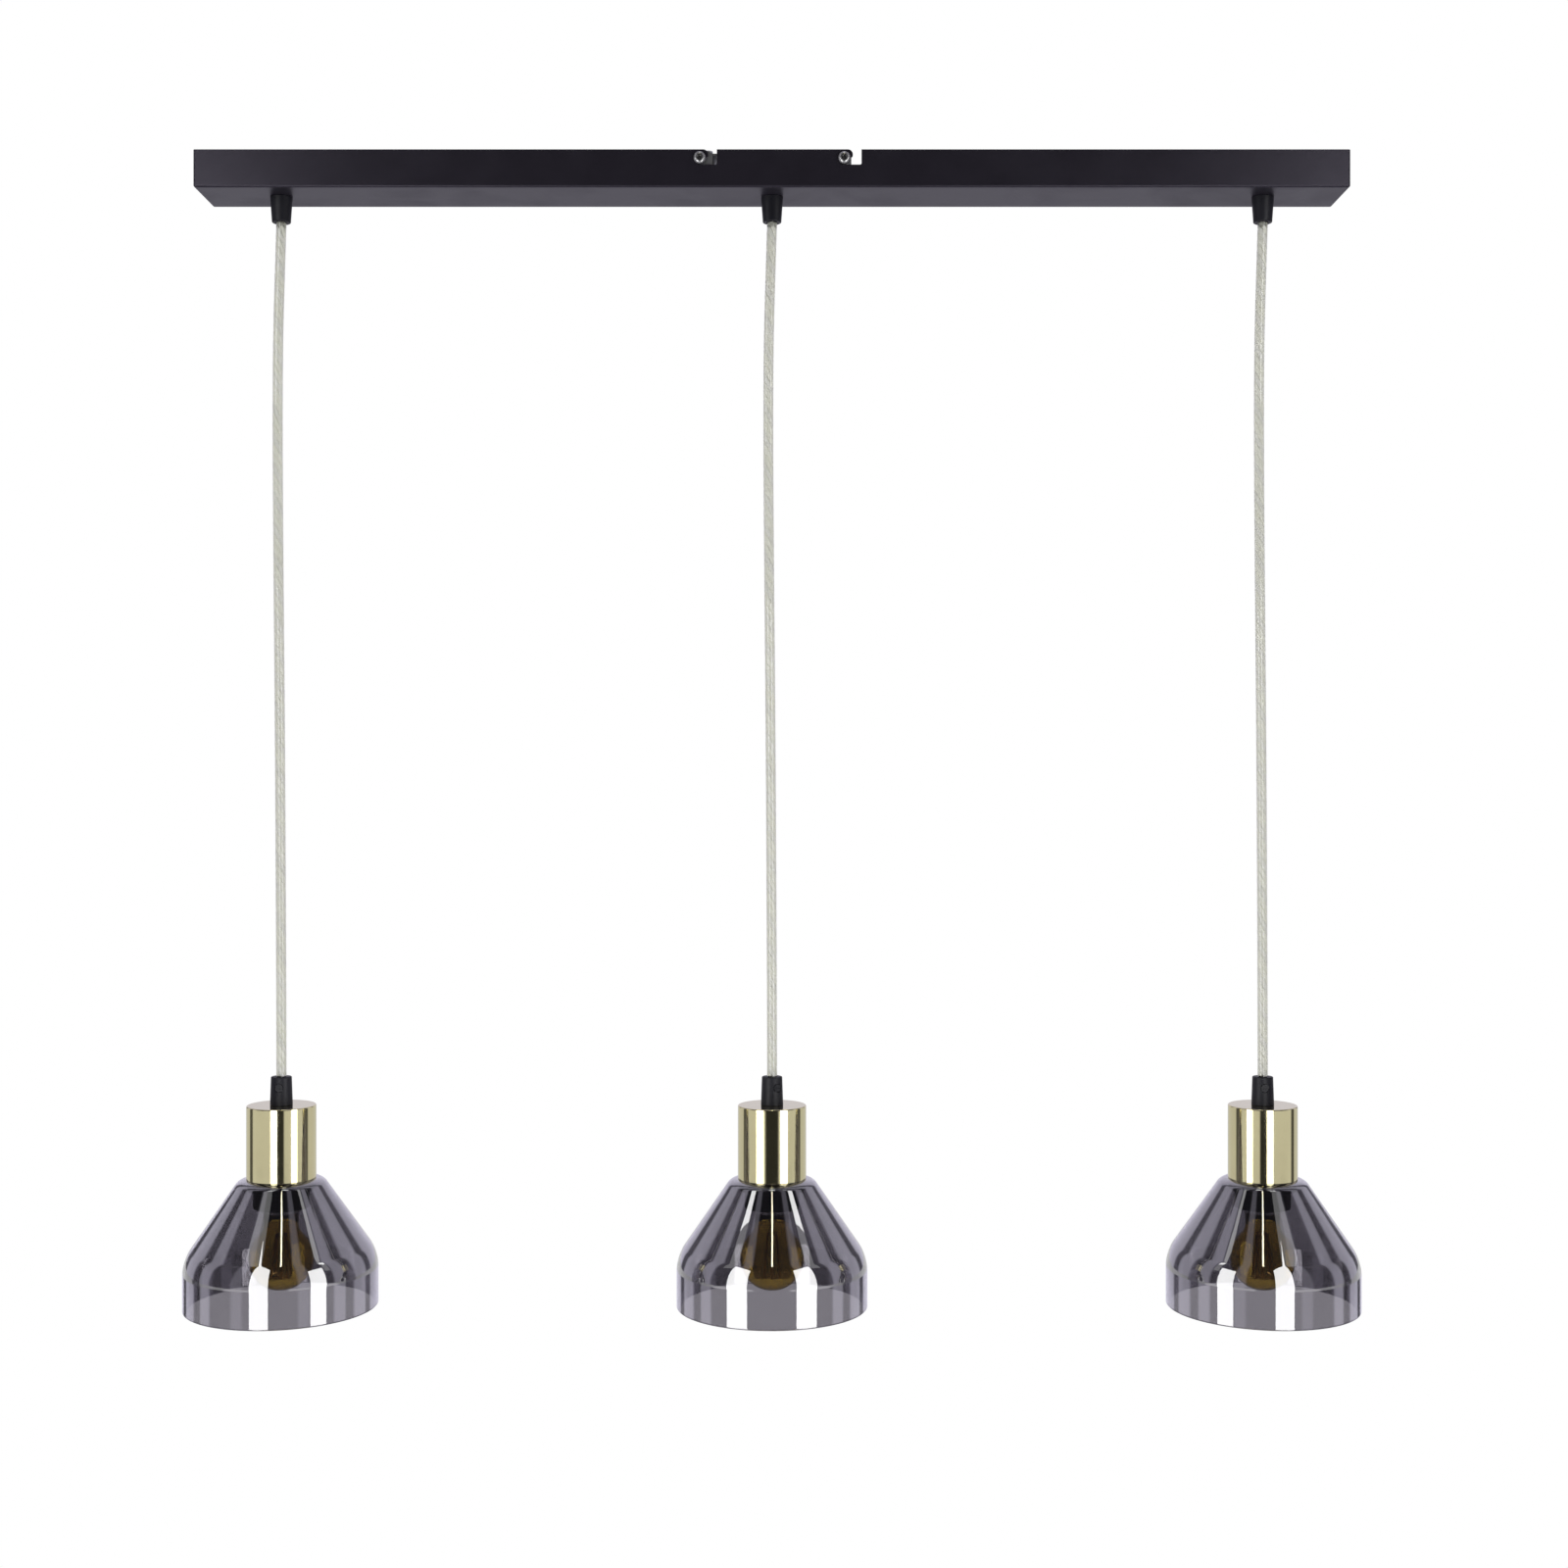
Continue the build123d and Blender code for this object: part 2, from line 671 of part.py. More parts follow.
def build_bulb_cap(x):
    """The bulb's screw cap: a thin shell with an insulated contact on top."""
    outside = bulb_cap_diameter / 2
    contact = bulb_contact_diameter / 2
    shell_top = bulb_contact_top - bulb_contact_height
    with BuildPart() as bulb_cap:
        with BuildSketch(section_plane(x)) as section:
            with BuildLine():
                Polyline(
                    (0, bulb_contact_top),
                    (contact, bulb_contact_top),
                    (contact, shell_top),
                    (outside, shell_top - bulb_contact_height),
                    (outside, bulb_cap_end),
                    (outside - bulb_cap_sheet, bulb_cap_end),
                    (outside - bulb_cap_sheet, shell_top - bulb_contact_height),
                    (0, shell_top - bulb_contact_height),
                    close=True,
                )
            make_face()
            fillet(corner(section, contact, bulb_contact_top), bulb_contact_height * 0.4)
        revolve(axis=lamp_axis(x))
    return bulb_cap


def globe_region(inset, neck_end):
    """The bulb's outline, `inset` inside the glass: a neck that runs into a globe."""
    width = bulb_neck_diameter - 2 * inset
    with BuildSketch(mode=Mode.PRIVATE) as region:
        with Locations((0, globe_centre)):
            Circle(globe_radius - inset)
        with Locations((0, (neck_end + globe_centre) / 2)):
            Rectangle(width, neck_end - globe_centre)
        join = globe_centre + ((globe_radius - inset) ** 2 - (width / 2) ** 2) ** 0.5
        for side in (-1, 1):
            fillet(corner(region, side * width / 2, join), bulb_neck_fillet + inset)
    return region.sketch


def build_bulb_glass(x):
    """The glass envelope, its neck cemented into the cap."""
    neck_end = bulb_cap_end + bulb_neck_overlap
    with BuildPart() as bulb_glass:
        with BuildSketch(section_plane(x)):
            add(globe_region(0, neck_end))
            add(globe_region(bulb_glass_wall, neck_end + bulb_glass_wall), mode=Mode.SUBTRACT)
            with Locations((bulb_diameter, globe_centre)):
                Rectangle(2 * bulb_diameter, 4 * bulb_length, mode=Mode.INTERSECT)
        revolve(axis=lamp_axis(x))
    return bulb_glass


def build_bulb_filament(x):
    """Glass stem on its flare, with filament sticks between two crosses of support wires."""
    flare_radius = bulb_neck_diameter / 2 - bulb_glass_wall - loose_gap
    flare_top = bulb_cap_end + bulb_neck_overlap - 1
    rod_radius = stem_rod_diameter / 2
    top_cross = globe_centre + globe_radius * 0.75
    bottom_cross = globe_centre - globe_radius * 0.55
    with BuildPart() as bulb_filament:
        with BuildSketch(section_plane(x)):
            with BuildLine():
                Polyline(
                    (0, flare_top),
                    (flare_radius, flare_top),
                    (flare_radius, flare_top - 1),
                    (stem_diameter / 2, flare_top - bulb_neck_overlap),
                    (stem_diameter / 2, top_cross + stem_diameter),
                    (rod_radius, top_cross + stem_diameter / 2),
                    (rod_radius, bottom_cross - stem_rod_diameter),
                    (0, bottom_cross - stem_rod_diameter),
                    close=True,
                )
            make_face()
        revolve(axis=lamp_axis(x))
        for index in range(stick_count):
            heading = 2 * pi * (index + 0.5) / stick_count
            outward = Vector(cos(heading), sin(heading), 0)
            top = Vector(x, 0, top_cross) + outward * stick_top_radius
            bottom = Vector(x, 0, bottom_cross) + outward * stick_bottom_radius
            with BuildSketch(Plane(origin=top, z_dir=bottom - top)):
                Circle(stick_diameter / 2)
            extrude(amount=(bottom - top).length)
            for z, reach in ((top_cross, stick_top_radius), (bottom_cross, stick_bottom_radius)):
                with BuildSketch(Plane(origin=(x, 0, z), z_dir=outward)):
                    Circle(support_wire_diameter / 2)
                extrude(amount=reach + stick_diameter / 2)
    return bulb_filament


for side, x in pendants.items():
    turn = lamp_turns[side]
    save(build_grip(x, *upper_grip_ends, neck_top, back_turn), f"{side}_upper_grip")
    save(build_grip(x, *lower_grip_ends, lower_neck_end, turn), f"{side}_lower_grip")
    save(build_grip_screw(x, *lower_grip_ends, turn), f"{side}_lower_grip_screw")

    with BuildPart() as cord_tail:
        with BuildSketch(Plane.XY.offset(cord_pivot + bend_radius + loose_gap)):
            with Locations((x, 0)):
                Circle(cord_radius)
        extrude(amount=sheath_top - cord_pivot - bend_radius - loose_gap)
    save(cord_tail, f"{side}_cord_tail")

    save(build_cord_bend(x), f"{side}_cord_bend")
    save(build_cord(x), f"{side}_cord")
    save(build_cord_end(x), f"{side}_cord_end")
    save(build_cup(x), f"{side}_cup")
    save(build_holder_cap(x), f"{side}_holder_cap")
    save(build_holder_body(x), f"{side}_holder_body")
    save(build_holder_contacts(x), f"{side}_holder_contacts")
    save(build_shade_ring(x), f"{side}_shade_ring")
    save(build_shade(x), f"{side}_shade")
    save(build_bulb_cap(x), f"{side}_bulb_cap")
    save(build_bulb_glass(x), f"{side}_bulb_glass")
    save(build_bulb_filament(x), f"{side}_bulb_filament")

# ---------------------------------------------------------------- terminal block

poles = {"live": -pole_pitch, "earth": 0, "neutral": pole_pitch}

with BuildPart() as terminal_block:
    with BuildSketch(Plane.XY.offset(bar_floor)):
        with Locations((block_x, 0)):
            Rectangle(block_length, block_width)
    extrude(amount=block_height)
    fillet(terminal_block.faces().sort_by(Axis.Z)[-1].edges(), block_edge_radius)
    with BuildSketch(Plane.YZ.offset(block_x)):
        with Locations(*[(y, pole_z) for y in poles.values()]):
            Circle(clamp_radius + fit_gap)
    extrude(amount=block_length, both=True, mode=Mode.SUBTRACT)
    with BuildSketch(Plane.XY.offset(block_top)):
        for y in poles.values():
            with Locations((block_x - clamp_screw_shift, y), (block_x + clamp_screw_shift, y)):
                Circle(clamp_screw_head / 2 + fit_gap)
    extrude(amount=pole_z - block_top, mode=Mode.SUBTRACT)
save(terminal_block, "terminal_block")

with BuildPart() as terminal_clamps:
    clamp_length = block_length - 2 * clamp_end_gap
    with BuildSketch(Plane.YZ.offset(block_x - clamp_length / 2)):
        with Locations(*[(y, pole_z) for y in poles.values()]):
            Circle(clamp_radius)
            Circle(clamp_bore / 2, mode=Mode.SUBTRACT)
    extrude(amount=clamp_length)
    with BuildSketch(Plane.XY.offset(pole_z)):
        for y in poles.values():
            with Locations((block_x - clamp_screw_shift, y), (block_x + clamp_screw_shift, y)):
                Circle(clamp_screw_diameter / 2 + fit_gap)
    extrude(amount=clamp_radius + fit_gap, mode=Mode.SUBTRACT)
save(terminal_clamps, "terminal_clamps")

with BuildPart() as terminal_screws:
    screw_point = pole_z + lead_stack + core_radius + fit_gap
    head_bottom = pole_z + clamp_radius + fit_gap
    head_top = block_top - 1
    spots = [(block_x + side * clamp_screw_shift, y) for y in poles.values() for side in (-1, 1)]
    with BuildSketch(Plane.XY.offset(screw_point)):
        with Locations(*spots):
            Circle(clamp_screw_diameter / 2)
    extrude(amount=head_bottom - screw_point)
    with BuildSketch(Plane.XY.offset(head_bottom)):
        with Locations(*spots):
            Circle(clamp_screw_head / 2)
    extrude(amount=head_top - head_bottom)
    with BuildSketch(Plane.XY.offset(head_top - grip_slot_depth)):
        with Locations(*spots):
            Rectangle(grip_slot_width, clamp_screw_head)
    extrude(amount=grip_slot_depth, mode=Mode.SUBTRACT)
save(terminal_screws, "terminal_screws")

# ---------------------------------------------------------------- leads inside the bar


def lead_route(side, y_sign):
    """The route of one core, from the sheath's end over the nut and along the floor to its clamp."""
    x = pendants[side]
    toward = 1 if x < block_x else -1
    face = block_x - toward * block_length / 2
    pole_y = y_sign * pole_pitch
    start_y = y_sign * core_shift
    stack = {"left": 0, "middle": lead_stack, "right": -lead_stack}[side]
    entry_z = pole_z + stack
    lane_y = {"left": pole_y, "middle": pole_y, "right": y_sign * right_lane}[side]
    points = [
        (x, start_y, sheath_top),
        (x, start_y, -lead_arch),
        (x + toward * lead_arch_run, (start_y + lane_y) / 2, -lead_arch),
    ]
    if side == "middle":
        points.append((face - toward * lead_rise_run, pole_y, entry_z + lead_high_lift))
    else:
        points.append((x + toward * (lead_arch_run + lead_fall_run), lane_y, lead_floor))
    if side == "right":
        points.append((face - toward * lane_change_start, lane_y, lead_floor))
        points.append((face - toward * lane_change_end, pole_y, lead_floor))
    if side == "left":
        points.append((face - toward * lead_rise_run, pole_y, lead_floor))
    points.append((face - toward * lead_straight_run, pole_y, entry_z))
    points.append((face + toward * (clamp_end_gap + lead_in), pole_y, entry_z))
    return points


def sweep_core(points):
    """A round core along a route, with one arc in each corner, and a check of its volume."""
    radii = corner_radii(points)
    with BuildPart() as core:
        with BuildLine() as route:
            FilletPolyline(*points, radius=radii)
        path = route.wires()[0]
        with BuildSketch(Plane(origin=path @ 0, z_dir=path % 0)):
            Circle(core_radius)
        sweep(path=path)
    expected = pi * core_radius**2 * path.length
    print("core radii", [round(r, 1) for r in radii], "volume ratio", round(core.part.volume / expected, 4))
    return core.part


for lead_name, y_sign in (("live_leads", -1), ("neutral_leads", 1)):
    with BuildPart() as leads:
        for side in pendants:
            add(sweep_core(lead_route(side, y_sign)))
    save(leads, lead_name)

with BuildPart() as earth_lead:
    barrel_z = bar_floor + core_radius + earth_ring_sheet
    barrel_start = earth_stud_x + earth_nut_across_flats / 3**0.5 + loose_gap
    earth_face = block_x - block_length / 2
    earth_points = [
        (barrel_start, 0, barrel_z),
        (barrel_start + earth_level_run, 0, barrel_z),
        (earth_face - earth_level_run, 0, pole_z),
        (earth_face + clamp_end_gap + lead_in, 0, pole_z),
    ]
    add(sweep_core(earth_points))
    with BuildSketch(Plane.YZ.offset(barrel_start)):
        with Locations((0, barrel_z)):
            Circle(core_radius + earth_ring_sheet)
    extrude(amount=earth_barrel_length)
    with BuildSketch(Plane.XY.offset(bar_floor)):
        with Locations((earth_stud_x, 0)):
            Circle(earth_ring_diameter / 2)
            Circle(hook_screw_diameter / 2 + fit_gap, mode=Mode.SUBTRACT)
    extrude(amount=earth_ring_sheet)
save(earth_lead, "earth_lead")

with BuildPart() as earth_nut:
    with BuildSketch(Plane.XY.offset(bar_floor + earth_ring_sheet)):
        with Locations((earth_stud_x, 0)):
            RegularPolygon(radius=earth_nut_across_flats / 2, side_count=6, major_radius=False)
            Circle(hook_screw_diameter / 2 + fit_gap, mode=Mode.SUBTRACT)
    extrude(amount=earth_nut_height)
save(earth_nut, "earth_nut")
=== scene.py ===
# %% [markdown]
# # Dressing a linear island pendant
# A black bar under the ceiling carries three smoked glass bells on clear cords. The CAD model
# already holds every solid in its place, so this lesson loads it as a fixed frame, models the
# pieces that need finer meshes than CAD gives, and finishes every surface with procedural nodes.

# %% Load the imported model
import json
import math

import bmesh
import bpy
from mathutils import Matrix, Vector


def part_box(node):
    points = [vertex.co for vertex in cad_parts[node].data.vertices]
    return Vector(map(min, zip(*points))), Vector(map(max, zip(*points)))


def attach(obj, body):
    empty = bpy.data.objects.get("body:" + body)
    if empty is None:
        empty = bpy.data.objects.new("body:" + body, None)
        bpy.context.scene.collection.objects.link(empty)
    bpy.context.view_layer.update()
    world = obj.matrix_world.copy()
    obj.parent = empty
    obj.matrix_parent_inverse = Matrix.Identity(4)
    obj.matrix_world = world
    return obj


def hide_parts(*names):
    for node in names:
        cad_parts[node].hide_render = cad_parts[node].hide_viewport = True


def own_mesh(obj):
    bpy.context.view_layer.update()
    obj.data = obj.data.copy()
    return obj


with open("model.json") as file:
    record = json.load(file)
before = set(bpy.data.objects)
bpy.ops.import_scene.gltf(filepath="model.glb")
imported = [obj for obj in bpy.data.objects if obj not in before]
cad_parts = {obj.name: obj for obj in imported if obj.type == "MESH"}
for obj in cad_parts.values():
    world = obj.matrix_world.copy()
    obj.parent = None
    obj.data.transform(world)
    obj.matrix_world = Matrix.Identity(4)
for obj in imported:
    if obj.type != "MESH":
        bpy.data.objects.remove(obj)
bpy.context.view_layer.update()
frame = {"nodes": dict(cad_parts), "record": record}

nodes = frame["nodes"]
scene = bpy.context.scene
bpy.ops.object.select_all(action="DESELECT")

# %% [markdown]
# ## Where the lamps hang
# Each lamp is made round an upright axis. The cup's box gives that axis, so nothing here repeats
# a place that the frame already knows. The other sizes are those of the solids, in metres.

# %% The lamps' axes and heights
sides = ("left", "middle", "right")
axis_x = {}
for side in sides:
    low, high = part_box(f"{side}_cup")
    axis_x[side] = (low.x + high.x) / 2
cup_low, cup_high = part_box("left_cup")
shade_low, shade_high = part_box("left_shade")
grip_low, grip_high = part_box("left_lower_grip")
cup_top = cup_high.z
cup_bottom = cup_low.z
rim = shade_low.z
upper_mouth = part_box("left_upper_grip")[0].z
lower_mouth = grip_high.z
print("axes", axis_x, "cup", round(cup_top, 4), round(cup_bottom, 4), "rim", round(rim, 4))
print("visible cord", round(upper_mouth, 4), round(lower_mouth, 4))

# %% [markdown]
# ## Camera
# The photograph is taken square on, with the camera level and a little above the middle of the
# cords. The bar's underside shows as a thin strip, which fixes how far away the camera stands.

# %% Set up the camera
camera_place = (0.0084, -1.43, -0.4385)
bpy.ops.object.camera_add(location=camera_place, rotation=(math.radians(90), 0, 0))
camera = bpy.context.object
camera.name = "camera"
camera.data.sensor_width = 36
camera.data.lens = 46.69
camera.data.clip_start = 0.05
scene.camera = camera

# %% [markdown]
# ## Helpers for modelling
# Most of the lamp is turned work. Such a piece starts as one vertex, which is extruded into the
# outline of half a section. Its corners are rounded with the bevel operator and the outline is
# spun round the lamp's axis, just as by hand. Selections are made by place, because a script
# cannot click.

# %% Select vertices by place
weld_reach = 1e-6


def select_near(piece, place, reach=1e-5):
    """Selects the vertices of a piece in edit mode that lie within reach of a place."""
    mesh = bmesh.from_edit_mesh(piece.data)
    for vertex in mesh.verts:
        vertex.select_set((vertex.co - place).length < reach)
    mesh.select_flush_mode()
    bmesh.update_edit_mesh(piece.data)


def finish_piece(piece, name):
    """Names a piece and puts its place in its mesh, as the CAD nodes have it."""
    bpy.ops.object.select_all(action="DESELECT")
    piece.select_set(True)
    bpy.context.view_layer.objects.active = piece
    bpy.ops.object.transform_apply(location=True, rotation=True, scale=True)
    piece.name = name
    piece.data.name = name
    piece.select_set(False)
    return piece


# %% Turn an outline round an upright axis
def turned(name, x, corners, closed=False, steps=128, arc_steps=8):
    """Spins an outline of (radius, height, rounding) corners round the axis at x."""
    bpy.ops.object.select_all(action="DESELECT")
    first = Vector((corners[0][0], 0, corners[0][1]))
    bpy.ops.mesh.primitive_plane_add(size=0.001, location=(x, 0, 0))
    piece = bpy.context.object
    bpy.ops.object.mode_set(mode="EDIT")
    bpy.ops.mesh.select_mode(type="VERT")
    bpy.ops.mesh.select_all(action="SELECT")
    bpy.ops.mesh.merge(type="CENTER")
    bpy.ops.transform.translate(value=first)
    route = list(corners) + ([corners[0]] if closed else [])
    for here, there in zip(route, route[1:]):
        step = (there[0] - here[0], 0, there[1] - here[1])
        bpy.ops.mesh.extrude_region_move(TRANSFORM_OT_translate={"value": step})
    if closed:
        bpy.ops.mesh.select_all(action="SELECT")
        bpy.ops.mesh.remove_doubles(threshold=weld_reach)
    for before, here, after in zip(corners, corners[1:], corners[2:]):
        if here[2] > 0:
            run_in = Vector((here[0] - before[0], here[1] - before[1]))
            run_out = Vector((after[0] - here[0], after[1] - here[1]))
            reach = here[2] * math.tan(run_in.angle(run_out) / 2)
            select_near(piece, Vector((here[0], 0, here[1])))
            bpy.ops.mesh.bevel(
                affect="VERTICES", offset_type="OFFSET", offset=reach,
                segments=arc_steps, profile=0.5,
            )
    bpy.ops.mesh.select_all(action="SELECT")
    bpy.ops.mesh.spin(steps=steps, angle=math.tau, center=(x, 0, 0), axis=(0, 0, 1))
    bpy.ops.mesh.select_all(action="SELECT")
    bpy.ops.mesh.remove_doubles(threshold=weld_reach)
    bpy.ops.mesh.normals_make_consistent(inside=False)
    bpy.ops.object.mode_set(mode="OBJECT")
    finish_piece(piece, name)
    piece.select_set(True)
    bpy.ops.object.shade_smooth_by_angle(angle=math.radians(35))
    level = piece.modifiers.new("level", "WEIGHTED_NORMAL")
    level.keep_sharp = True
    bpy.ops.object.modifier_apply(modifier="level")
    piece.select_set(False)
    return piece


# %% [markdown]
# ## Cords
# Each lamp hangs on 600 mm of round clear cord, seen from grip to grip. Inside its glassy sheath
# three thin cores are twisted together. The cord keeps a slight set from its coil, so its line is
# a smooth NURBS curve with a gentle bow. The sheath and the cores follow points read from that
# line.

# %% The line of a cord
cord_diameter = 0.007
cord_length = upper_mouth - lower_mouth
mouth_gap = 0.0003
straight_end = 0.03
cord_end = lower_mouth + mouth_gap
# How far the cord stands off its plumb line, at shares of its length.
bow = (
    (0.05, -0.0009), (0.14, -0.0025), (0.26, -0.0027),
    (0.40, -0.0021), (0.58, -0.0011), (0.78, -0.0004),
)


def cord_line(side):
    """Close points along a cord's NURBS line, from the upper grip down to the lower one."""
    x = axis_x[side]
    places = [(x, 0, upper_mouth)]
    places += [(x + shift, 0, upper_mouth - share * cord_length) for share, shift in bow]
    places += [(x, 0, lower_mouth + straight_end), (x, 0, cord_end)]
    line = bpy.data.curves.new(f"{side}_cord_line", "CURVE")
    line.dimensions = "3D"
    line.resolution_u = 24
    spline = line.splines.new("NURBS")
    spline.points.add(len(places) - 1)
    for point, place in zip(spline.points, places):
        point.co = (*place, 1)
    spline.order_u = 3
    spline.use_endpoint_u = True
    holder = bpy.data.objects.new(f"{side}_cord_line", line)
    scene.collection.objects.link(holder)
    bpy.context.view_layer.update()
    mesh = bpy.data.meshes.new_from_object(holder)
    followed = [vertex.co.copy() for vertex in mesh.vertices]
    bpy.data.objects.remove(holder)
    bpy.data.meshes.remove(mesh)
    return followed


# %% Tubes and strands along a line
def tube_along(name, places, thickness, sides_round):
    """A closed round tube of one thickness along a list of places, as a mesh."""
    bpy.ops.object.select_all(action="DESELECT")
    line = bpy.data.curves.new(name, "CURVE")
    line.dimensions = "3D"
    spline = line.splines.new("POLY")
    spline.points.add(len(places) - 1)
    for point, place in zip(spline.points, places):
        point.co = (*place, 1)
    line.bevel_depth = thickness / 2
    line.bevel_resolution = sides_round // 4
    line.use_fill_caps = True
    tube = bpy.data.objects.new(name, line)
    scene.collection.objects.link(tube)
    tube.select_set(True)
    bpy.context.view_layer.objects.active = tube
    bpy.ops.object.convert(target="MESH")
    bpy.ops.object.mode_set(mode="EDIT")
    bpy.ops.mesh.select_all(action="SELECT")
    bpy.ops.mesh.remove_doubles(threshold=weld_reach)
    bpy.ops.mesh.normals_make_consistent(inside=False)
    bpy.ops.object.mode_set(mode="OBJECT")
    finish_piece(tube, name)
    tube.select_set(True)
    bpy.ops.object.shade_smooth_by_angle(angle=math.radians(50))
    tube.select_set(False)
    return tube


def twisted(places, reach, pitch, phase, steps_per_turn=16):
    """Places on a helix round a line that runs mostly downwards."""
    start, end = places[0], places[-1]
    steps = round((start - end).length / pitch * steps_per_turn)
    winding = []
    for index in range(steps + 1):
        share = index / steps * (len(places) - 1)
        whole = min(int(share), len(places) - 2)
        middle = places[whole].lerp(places[whole + 1], share - whole)
        turn = phase + (start.z - middle.z) / pitch * math.tau
        winding.append(middle + Vector((math.cos(turn), math.sin(turn), 0)) * reach)
    return winding


# %% Make the three cords
core_pitch = 0.021
core_offset = 0.00145
core_diameter = 0.0026
cord_pieces = {}
core_pieces = []
for side in sides:
    places = cord_line(side)
    sheath = tube_along(f"{side}_sheath", places, cord_diameter, 32)
    cores = []
    for number in range(3):
        winding = twisted(places, core_offset, core_pitch, math.tau * number / 3)
        core = tube_along(f"{side}_core_{number + 1}", winding, core_diameter, 12)
        cores.append(core)
    for piece in [sheath] + cores:
        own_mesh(piece)
        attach(piece, f"{side}_hanging_cord")
    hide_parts(f"{side}_cord")
    cord_pieces[side] = sheath
    core_pieces.append(cores)
print("cord length", round(cord_length, 4), "points", len(places))

# %% [markdown]
# ## Cups
# A cup is a drawn and polished metal cylinder over the lampholder. Its polish shows every flat
# of a coarse mesh, so it is turned again here with many steps, to the solid's own section.

# %% Turn the cups
cup_radius = (cup_high.x - cup_low.x) / 2
cup_wall = 0.001
neck_hole = 0.00505
top_edge = 0.0008
lip_edge = 0.0004
cups = {}
for side in sides:
    cup = turned(
        f"{side}_cup_turned", axis_x[side],
        [
            (neck_hole, cup_top, 0),
            (cup_radius, cup_top, top_edge),
            (cup_radius, cup_bottom, lip_edge),
            (cup_radius - cup_wall, cup_bottom, lip_edge / 2),
            (cup_radius - cup_wall, cup_top - cup_wall, lip_edge),
            (neck_hole, cup_top - cup_wall, 0),
        ],
        closed=True,
    )
    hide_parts(f"{side}_cup")
    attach(cup, f"{side}_lamp")
    cups[side] = cup

# %% [markdown]
# ## Shades
# Each shade is a blown bell: a flat top with a hole, a rounded shoulder, a cone and a wall that
# falls straight to a fire-polished rim. The wall is real, 2.5 mm thick, because glass bends light
# at both of its faces and a single skin would look like film. The inner line of the cone is
# parallel to the outer one, and the cone's slope gives where it meets the top and the wall.

# %% Turn the shades
shade_radius = (shade_high.x - shade_low.x) / 2
glass = 0.0025
hole_radius = 0.0205
flat_radius = 0.029
cone_drop = 0.055
shoulder_round = 0.008
knee_round = 0.029
rim_round = 0.0011
slope = Vector((shade_radius - flat_radius, -cone_drop)).normalized()
inner_radius = shade_radius - glass
inner_flat_radius = flat_radius - glass * (1 - slope.x) / -slope.y
inner_drop = glass + (inner_radius - inner_flat_radius) * -slope.y / slope.x
shades = {}
for side in sides:
    shade = turned(
        f"{side}_bell", axis_x[side],
        [
            (hole_radius, cup_bottom, 0),
            (flat_radius, cup_bottom, shoulder_round),
            (shade_radius, cup_bottom - cone_drop, knee_round),
            (shade_radius, rim, rim_round),
            (inner_radius, rim, rim_round),
            (inner_radius, cup_bottom - inner_drop, knee_round - glass),
            (inner_flat_radius, cup_bottom - glass, shoulder_round - glass),
            (hole_radius, cup_bottom - glass, 0),
        ],
        closed=True, steps=160, arc_steps=12,
    )
    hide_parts(f"{side}_shade")
    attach(shade, f"{side}_lamp")
    shades[side] = shade

# %% [markdown]
# ## Bulbs
# The bulb is a small amber globe whose neck is cemented into a threaded cap. The glass is turned,
# and it gets its 0.8 mm wall from a Solidify modifier.

# %% Turn the bulbs
bulb_low, bulb_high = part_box("left_bulb_glass")
globe_radius = (bulb_high.x - bulb_low.x) / 2
globe_centre = bulb_low.z + globe_radius
neck_top = bulb_high.z
neck_radius = 0.012
blend_radius = 0.010
blend_steps = 8
globe_steps = 32
bulb_wall = 0.0008


def globe_outline():
    """Half of the bulb's outline: the neck, a hollow arc and the globe down to its tip."""
    arc_radius = neck_radius + blend_radius
    reach = globe_radius + blend_radius
    arc_height = globe_centre + math.sqrt(reach**2 - arc_radius**2)
    angle = math.atan2(arc_height - globe_centre, arc_radius)
    outline = [(neck_radius, neck_top, 0)]
    for index in range(blend_steps + 1):
        turn = math.pi + angle * index / blend_steps
        radius = arc_radius + blend_radius * math.cos(turn)
        outline.append((radius, arc_height + blend_radius * math.sin(turn), 0))
    for index in range(1, globe_steps + 1):
        turn = angle - (angle + math.pi / 2) * index / globe_steps
        radius = max(globe_radius * math.cos(turn), 0)
        outline.append((radius, globe_centre + globe_radius * math.sin(turn), 0))
    return outline


bulbs = {}
for side in sides:
    bulb = turned(f"{side}_globe", axis_x[side], globe_outline(), steps=96)
    bpy.context.view_layer.objects.active = bulb
    wall = bulb.modifiers.new("wall", "SOLIDIFY")
    wall.thickness = bulb_wall
    wall.offset = -1
    bpy.ops.object.modifier_apply(modifier="wall")
    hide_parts(f"{side}_bulb_glass")
    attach(bulb, f"{side}_bulb")
    bulbs[side] = bulb

# %% [markdown]
# ## Bracket screws
# Four pan-head screws hold the bar on its bracket, and two of them face the camera. Their domed
# heads and cross recesses catch the light in four small lobes, which flat-headed solids cannot do.
# One screw is turned upright, cut, copied and laid down in its four places.

# %% Make the screws
screw_low, screw_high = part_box("bracket_screws")
screw_middle = (screw_low + screw_high) / 2
head_radius = (screw_high.z - screw_low.z) / 2
head_top = 0.0027
dome_start = 0.0029
head_edge = 0.001
thread_radius = 0.002
thread_length = 0.008
screw_seat = -screw_low.y - head_top
screw = turned(
    "one_screw", 0,
    [
        (0, head_top, 0),
        (dome_start, head_top, 0.0026),
        (head_radius, head_edge, 0.0009),
        (head_radius, 0, 0),
        (thread_radius, 0, 0),
        (thread_radius, -thread_length, 0.0003),
        (0, -thread_length, 0),
    ],
    steps=48,
)
